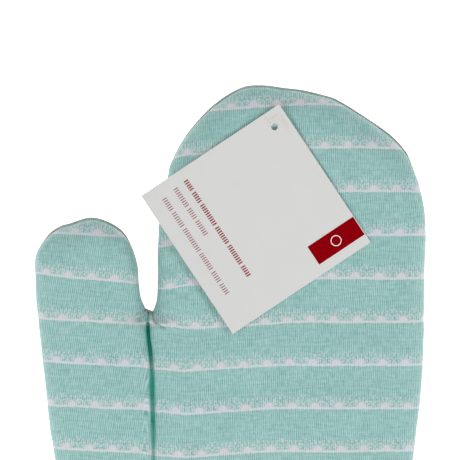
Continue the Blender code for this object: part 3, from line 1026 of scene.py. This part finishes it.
def lace(across, up):
    """1 on the lace print and 0 on plain cloth, from millimetres across and up the print."""
    m = across.wrapped(MOTIF, -MOTIF / 2)
    side = abs(m)
    h = up.wrapped(STRIPE, -3.0)
    gap = side * -1.0 + MOTIF / 2

    solid = abs(h).below(0.6, 0.3)
    solid = solid.either(hypot(side / 2.6, h / 3.2).below(1.0, 0.25) * h.above(0.0))
    fine = hypot(gap, h - 5.2).below(0.55)
    for angle, length in LACE_RAYS:
        c, s = math.cos(math.radians(angle)), math.sin(math.radians(angle))
        along = side * s + h * c
        off = abs(side * c - h * s)
        fine = fine.either(off.below(0.36) * along.below(length) * along.above(1.5))
        fine = fine.either(hypot(side - length * s, h - length * c).below(0.55))
    eye = abs(hypot(gap - 1.9, h - 2.1) - 1.6)
    fine = fine.either(eye.below(0.3))
    fine = fine.either(hypot(gap - 2.4, h - 5.6).below(0.5))
    fine = fine.either(abs(abs(gap * 0.8) - h + 6.0).below(0.28) * gap.below(1.5))
    return solid * 0.92, fine * LACE_FINE


class Paint:
    """A material, with the steps that it is painted in."""

    def __init__(self, name, roughness, gloss, sheen=0.0):
        self.made = bpy.data.materials.new(name)
        self.made.use_nodes = True
        self.tree = self.made.node_tree
        self.shader = self.tree.nodes["Principled BSDF"]
        self.set("Roughness", roughness)
        self.set("Specular IOR Level", gloss)
        if sheen:
            self.set("Sheen Weight", sheen)
            self.set("Sheen Roughness", 0.5)

    def set(self, entry, value):
        self.shader.inputs[entry].default_value = value

    def node(self, kind, **sources):
        """A node of that kind, with sources linked to its entries."""
        made = self.tree.nodes.new(f"ShaderNode{kind}")
        for entry, source in sources.items():
            self.tree.links.new(source, made.inputs[entry])
        return made

    def flat_cloth(self):
        """Millimetres across and up a piece's own flat cloth, which the noise then follows too."""
        place = self.node("UVMap")
        place.uv_map = "print"
        self.place = place.outputs["UV"]
        parts = self.node("SeparateXYZ", Vector=self.place)
        return [Sum(self.tree, parts.outputs[k]) * UV_MM for k in (0, 1)]

    def noise(self, stretch=(1.0, 1.0), detail=2.0, rough=0.5, scale=UV_MM):
        """Noise from 0 to 1 over the stretched place."""
        scaled = self.node("Mapping", Vector=self.place)
        scaled.inputs["Scale"].default_value = (*stretch, 1.0)
        node = self.node("TexNoise", Vector=scaled.outputs["Vector"])
        for entry, value in (("Scale", scale), ("Detail", detail), ("Roughness", rough)):
            node.inputs[entry].default_value = value
        return Sum(self.tree, node.outputs["Fac"])

    def mix(self, share, first, second):
        """A colour between two others, each given as numbers or as a socket."""
        node = self.node("Mix", Factor=share.source)
        node.data_type = "RGBA"
        for entry, colour in ((node.inputs[6], first), (node.inputs[7], second)):
            if isinstance(colour, tuple):
                entry.default_value = (*colour, 1.0)
            else:
                self.tree.links.new(colour, entry)
        return node.outputs[2]

    def finish(self, colour, height, distance):
        """The material with this colour and, unless the distance is 0, with bumps of that height."""
        self.tree.links.new(colour, self.shader.inputs["Base Color"])
        if distance:
            bump = self.node("Bump", Height=height.source)
            bump.inputs["Distance"].default_value = distance
            self.tree.links.new(bump.outputs["Normal"], self.shader.inputs["Normal"])
        return self.made


def weave(across, up, thread):
    """Over-and-under height of a plain weave, 0 to 1."""
    a, b = ((place * (math.pi / thread)).step("SINE") for place in (across, up))
    return a * b * 0.5 + 0.5


def printed_cotton():
    """Mint chambray with the white lace borders, and painted shade in the crease's slot."""
    paint = Paint("mint printed cotton", 0.92, 0.2, sheen=0.25)
    across, up = paint.flat_cloth()
    warp = paint.noise((1.3, 0.22), rough=0.6)
    weft = paint.noise((0.12, 0.8), rough=0.6)
    slub = paint.noise((0.06, 0.05))
    patch = paint.noise((0.12, 0.12), 1.0)
    ribs = (across * (math.tau / RIB) + (warp - 0.5) * 1.5).step("SINE") * (patch * 1.2 - 0.1)
    tone = (warp - 0.5) * 1.1 + (weft - 0.5) * 0.8 + (slub - 0.5) * 0.2 + ribs * 0.58
    ground = paint.mix((tone + 0.5).step("ADD", 0.0, clamp=True), MINT_DARK, MINT_LIGHT)
    shift = (paint.noise((0.35, 0.35), 1.0) - 0.5) * 0.9
    solid, fine = lace(across + shift, up + shift)
    worn = (paint.noise((1.2, 0.8), 1.0) * 2.4).step("ADD", -0.45, clamp=True)
    ink = solid.either(fine * worn) * (ribs * 0.3 + (warp - 0.5) * 0.6 + 0.9)
    colour = paint.mix(ink.step("ADD", 0.0, clamp=True), ground, LACE_WHITE)
    # Painted shade: the crease's slot is darkened towards saturated green by each point's share, read
    # from its attribute.
    depth = paint.node("Attribute")
    depth.attribute_name = "crease_painted_shade"
    colour = paint.mix(Sum(paint.tree, depth.outputs["Fac"]) * 0.97, colour, CREASE_SHADE_GREEN)
    return paint.finish(colour, weave(across, up, 0.42) + warp * 0.8 + weft * 0.4 + ribs * 0.5, 0.00012)


def plain_cloth(name, light, dark, thread):
    """Plain woven cloth with uneven threads."""
    paint = Paint(name, 0.92, 0.2, sheen=0.2)
    across, up = paint.flat_cloth()
    warp, weft = paint.noise((1.6, 0.1), 3.0, 0.7), paint.noise((0.1, 1.6), 3.0, 0.7)
    colour = paint.mix((warp + weft) * 0.5, dark, light)
    return paint.finish(colour, weave(across, up, thread) + warp + weft, 0.00012)


def wadding_fibre():
    paint = Paint("wadding fibre", 1.0, 0.2, sheen=0.4)
    paint.flat_cloth()
    fibre = paint.noise((0.6, 0.6), 6.0, 0.75)
    return paint.finish(paint.mix(fibre, (0.62, 0.6, 0.54), (0.9, 0.89, 0.84)), fibre, 0.0008)


def plain_finish(name, colour, roughness, grain=0.0, gloss=0.12):
    """One colour with fine grain, for print, thread and plastic."""
    paint = Paint(name, roughness, gloss)
    paint.place = paint.node("TexCoord").outputs["Object"]
    speck = paint.noise(detail=4.0, scale=900.0)
    return paint.finish(paint.mix(speck, tuple(0.88 * c for c in colour), colour), speck, grain)


def tag_card():
    """Uncoated off-white card with fine grain, and faint beige marks beside the fastener's hole."""
    paint = Paint("tag card", 0.8, 0.25)
    across, up = paint.flat_cloth()
    speck = paint.noise((1.6, 1.6), 4.0)
    cloud = paint.noise((0.05, 0.05))
    mark_noise = paint.noise((0.8, 0.4))
    base = paint.mix(speck * 0.6 + cloud * 0.4, TAG_SHADE, TAG_WHITE)
    hole_marks = [hypot((across - x) / wide, (up - y) / long).below(1.0, 0.9) for x, y, wide, long in TAG_HOLE_MARKS]
    marked_share = hole_marks[0].either(hole_marks[1]).either(hole_marks[2])
    return paint.finish(paint.mix(marked_share * mark_noise, base, TAG_MARK_BEIGE), speck, 0.00004)


def make_materials():
    plastic = plain_finish("fastener plastic", (0.95, 0.95, 0.95), 0.1)
    clear = plastic.node_tree.nodes["Principled BSDF"]
    clear.inputs["Alpha"].default_value = 0.1
    return {
        "printed_cotton": printed_cotton(),
        "wadding": wadding_fibre(),
        "lining": plain_cloth("cream lining", (0.84, 0.82, 0.76), (0.68, 0.66, 0.6), 0.5),
        "tape": plain_cloth("mint tape", MINT_LIGHT, MINT_DARK, 0.45),
        "thread": plain_finish("mint sewing thread", (0.5, 0.68, 0.64), 0.7, 0.0001),
        "tack": plain_finish("brown tack thread", (0.32, 0.26, 0.27), 0.8, 0.0001),
        # Partly painted shade: grey-brown thread for the thin dark line in the seam's groove.
        "groove_line": plain_finish("grey groove line thread", (0.5, 0.45, 0.4), 0.85, 0.0001),
        "card": tag_card(),
        "red": plain_finish("red print", TAG_RED, 0.6, gloss=0.0),
        "white": plain_finish("white print", (0.8, 0.79, 0.79), 0.6),
        "text": plain_finish("red line print", TAG_TEXT, 0.7),
        "plastic": plastic,
    }


def make_fastener(materials):
    """The tag fastener: a bar inside the mitt, a filament up through the cloth, and a paddle."""
    x, y = TAG_PIN
    across = [(x + s, y, ANCHOR_Z) for s in (-4.6, -4.3, -1.5, 1.5, 4.3, 4.6)]
    bar = join_tubes("tag_fastener_bar", [tube(across, 0.6, 10)], materials["plastic"])
    upright = [(x, y, z) for z in np.linspace(ANCHOR_Z, PADDLE_Z, 24)]
    filament = join_tubes("tag_fastener_filament", [tube(upright, 0.35, 10)], materials["plastic"])
    rings = []
    for lift, shrink in ((-0.4, 0.75), (-0.25, 1.0), (0.2, 1.0), (0.4, 0.7)):
        ring = []
        for q in np.linspace(0.0, math.tau, 24, endpoint=False):
            c, s = (np.sign(v) * abs(v) ** 0.5 for v in (math.cos(q), math.sin(q)))
            ring.append((x + 2.4 * shrink * c, y + 1.4 * shrink * s, PADDLE_Z + lift))
        rings.append(ring)
    paddle = closed_grid("tag_fastener_paddle", rings, materials["plastic"], caps=True)
    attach(bar, "fingers")
    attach(paddle, "tag_pin")
    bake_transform(filament)
    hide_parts("tag_fastener_anchor")
    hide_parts("tag_fastener_head")


def make_tack(material):
    """Dark bar-tack threads across the crotch, where the seam is strained most."""
    rng = np.random.default_rng(4)
    threads = []
    for k in range(6):
        at = np.array([-46.1, 34.5]) + np.array([0.07, -0.17]) * k + rng.uniform(-0.12, 0.12, 2)
        end = at + np.array([4.5, -1.9]) + rng.uniform(-0.25, 0.25, 2)
        z = TACK_Z + 0.6 * k
        threads.append(stitch((*at, z), (*end, z + rng.uniform(-0.3, 0.3)), (0.0, 0.4, 0.9), 0.5, 0.24))
    tack = join_tubes("crotch_tack", threads, material)
    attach(tack, "palm")


def make_seam_threads(panels, material):
    """A grey-brown thread line that shows in the seam's groove along the tips, partly painted shade of
    the groove.
    """
    for half, panel in panels.items():
        sewn = ~panel.creased & (panel.from_crotch > 3.0)
        line, normals = panel.line[sewn], panel.normals[sewn]
        hidden = 1.0 - smoothstep(-0.1, 0.75, -normals[:, 1] - 0.35 * np.clip(normals[:, 0], 0.0, 1.0))
        at = line + normals * (0.3 + 1.3 * hidden)[:, None]
        path = np.column_stack([at, np.full(len(at), SEAM_Z)])
        obj = join_tubes(f"seam_edge_{half}", [tube(path, 0.38)], material)
        bend(obj, half)


def area_light(name, place, aim, size, power):
    light = bpy.data.lights.new(name, "AREA")
    light.shape = "DISK"
    light.size = size
    light.energy = power
    obj = place_object(name, light)
    obj.location = place
    obj.rotation_euler = (Vector(aim) - Vector(place)).to_track_quat("-Z", "Y").to_euler()


def make_studio():
    """A plain pale floor, soft light from the cuff's side, and the camera straight above."""
    scene = bpy.context.scene
    pale = Paint("studio floor", 1.0, 0.0)
    pale.set("Base Color", (0.85, 0.85, 0.85, 1.0))
    pale.set("Emission Color", (1.0, 1.0, 1.0, 1.0))
    pale.set("Emission Strength", FLOOR_GLOW)
    corners = [(x * FLOOR_HALF, y * FLOOR_HALF, 0.0) for x, y in ((-1, -1), (1, -1), (1, 1), (-1, 1))]
    make_object("studio_floor", corners, [[0, 1, 2, 3]], pale.made, smooth=False)

    for name, place, across, power in STUDIO_LIGHTS:
        area_light(name, place, (0.0, 0.06, 0.0), across, power)
    world = bpy.data.worlds.new("studio")
    world.use_nodes = True
    background = world.node_tree.nodes["Background"]
    background.inputs["Color"].default_value = (1.0, 1.0, 1.0, 1.0)
    background.inputs["Strength"].default_value = WORLD_LIGHT
    scene.world = world
    scene.view_settings.view_transform = "Standard"

    lens = bpy.data.cameras.new("camera")
    lens.sensor_width = 36.0
    lens.lens = 36.0 * (CAMERA_HEIGHT - SEAM_Z * MM) / VIEW_WIDTH
    scene.camera = place_object("camera", lens)
    scene.camera.location = (0.0, VIEW_Y, CAMERA_HEIGHT)


materials = make_materials()
panels = make_walls(materials)
binding, mouth_outer, mouth_inner = make_binding(panels, materials["tape"])
binding_sewing = make_binding_stitches(mouth_outer, mouth_inner, materials["thread"])
for piece in (binding, binding_sewing):
    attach(piece, "palm")
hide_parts("hem_binding")
make_loop(materials)
make_tag(materials)
make_fastener(materials)
make_tack(materials["tack"])
make_seam_threads(panels, materials["groove_line"])
make_studio()
